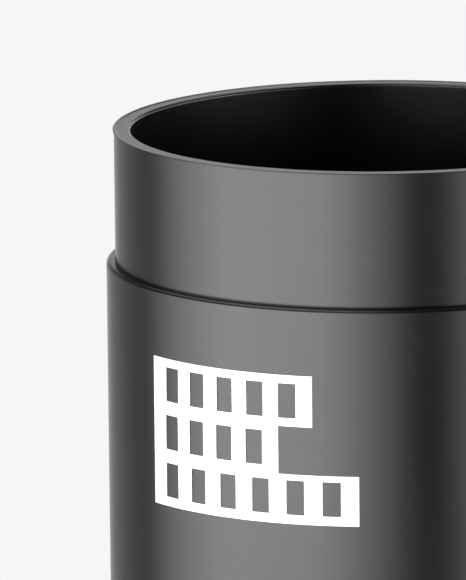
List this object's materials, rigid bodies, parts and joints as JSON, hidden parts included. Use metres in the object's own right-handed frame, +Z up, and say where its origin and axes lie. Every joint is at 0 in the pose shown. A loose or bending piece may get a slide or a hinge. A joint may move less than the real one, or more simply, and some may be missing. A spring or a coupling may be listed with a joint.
{
  "type": "slip-cap tube",
  "caption": "Rigid round double-wall tube for shaving cream, standing open, with a smooth stepped neck, a rounded shoulder, a plain stepped label and a slip-on cap set down beside it.",
  "frame": {"origin": "centre of the foot pad's underside, on the surface the tube stands on", "axes": "+Z up along the tube's axis towards the open rim, -Y towards the label, +X towards the cap that is set down"},
  "size_m": [0.138, 0.0601, 0.15],
  "materials": {
    "soft_touch_shell": "matte charcoal-black soft-touch coating with a faint fine grain",
    "moulded_insert": "satin black moulded plastic",
    "label_film": "smooth matte white film with plain rectangular cut-outs",
    "foot_rubber": "fine-textured black rubber",
    "foam_pad": "closed-cell black foam",
    "seal_foam": "pale grey closed-cell foam"
  },
  "bodies": {
    "tube": {"outer_sleeve": "soft_touch_shell", "inner_cup": "soft_touch_shell", "base_plug": "moulded_insert", "foot_pad": "foot_rubber", "floor_pad": "foam_pad", "front_label": "label_film"},
    "cap": {"cap_shell": "soft_touch_shell", "cap_plug": "moulded_insert", "cap_seal": "seal_foam"}
  },
  "joints": [
    {"name": "cap_lift", "type": "slide", "parent": "tube", "child": "cap", "axis": [0, 0, 1], "range_m": [0, 0.16]}
  ]
}
